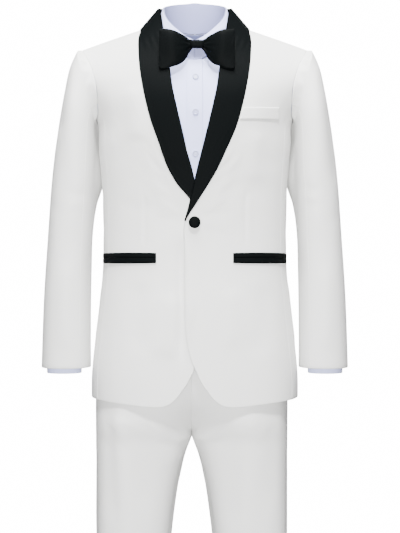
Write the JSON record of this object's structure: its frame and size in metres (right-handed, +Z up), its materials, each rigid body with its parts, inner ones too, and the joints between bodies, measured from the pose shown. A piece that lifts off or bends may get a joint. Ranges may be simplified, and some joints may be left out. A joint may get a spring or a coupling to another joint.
{
  "type": "tuxedo",
  "caption": "Hollow worn tuxedo set: dinner jacket with satin shawl collar, flat-front trousers, pleat-free shirt with turned-down collar, and bow tie.",
  "frame": {"origin": "middle of the shoulder line, level with the points where the shoulders meet the neck; the wearer's shoulders hold the set there", "axes": "+Z up; the front faces -Y; the wearer's left is +X"},
  "size_m": [0.605, 0.254, 1.6288],
  "materials": {
    "suiting": "smooth off-white wool suiting, matt",
    "trousering": "smooth off-white wool trousering, matt",
    "satin": "black satin facing, soft sheen",
    "bow_satin": "black satin, soft sheen",
    "shirting": "fine white poplin, slightly cool",
    "button": "pearly white shirt button"
  },
  "bodies": {
    "root": {"jacket_front_left": "suiting", "jacket_front_right": "suiting", "jacket_side_left": "suiting", "jacket_side_right": "suiting", "jacket_back_left": "suiting", "jacket_back_right": "suiting", "jacket_sleeve_top_left": "suiting", "jacket_sleeve_top_right": "suiting", "jacket_sleeve_under_left": "suiting", "jacket_sleeve_under_right": "suiting", "shawl_left": "satin", "shawl_right": "satin", "jacket_collar_stand": "satin", "hip_pocket_upper_left": "satin", "hip_pocket_lower_left": "satin", "hip_pocket_upper_right": "satin", "hip_pocket_lower_right": "satin", "breast_welt": "suiting", "front_button": "satin", "front_button_shank": "satin", "shirt_front_left": "shirting", "shirt_front_right": "shirting", "shirt_back": "shirting", "shirt_placket": "shirting", "shirt_sleeve_left": "shirting", "shirt_sleeve_right": "shirting", "shirt_cuff_left": "shirting", "shirt_cuff_right": "shirting", "shirt_collar_stand": "shirting", "shirt_collar_leaf": "shirting", "bow_knot": "bow_satin", "bow_wing_left": "bow_satin", "bow_wing_right": "bow_satin", "bow_band": "bow_satin", "trouser_front_left": "trousering", "trouser_front_right": "trousering", "trouser_back_left": "trousering", "trouser_back_right": "trousering", "trouser_waistband": "trousering", "shirt_button_1": "button", "shirt_button_2": "button", "shirt_button_3": "button", "shirt_button_4": "button", "shirt_button_5": "button", "shirt_button_6": "button"}
  },
  "joints": []
}
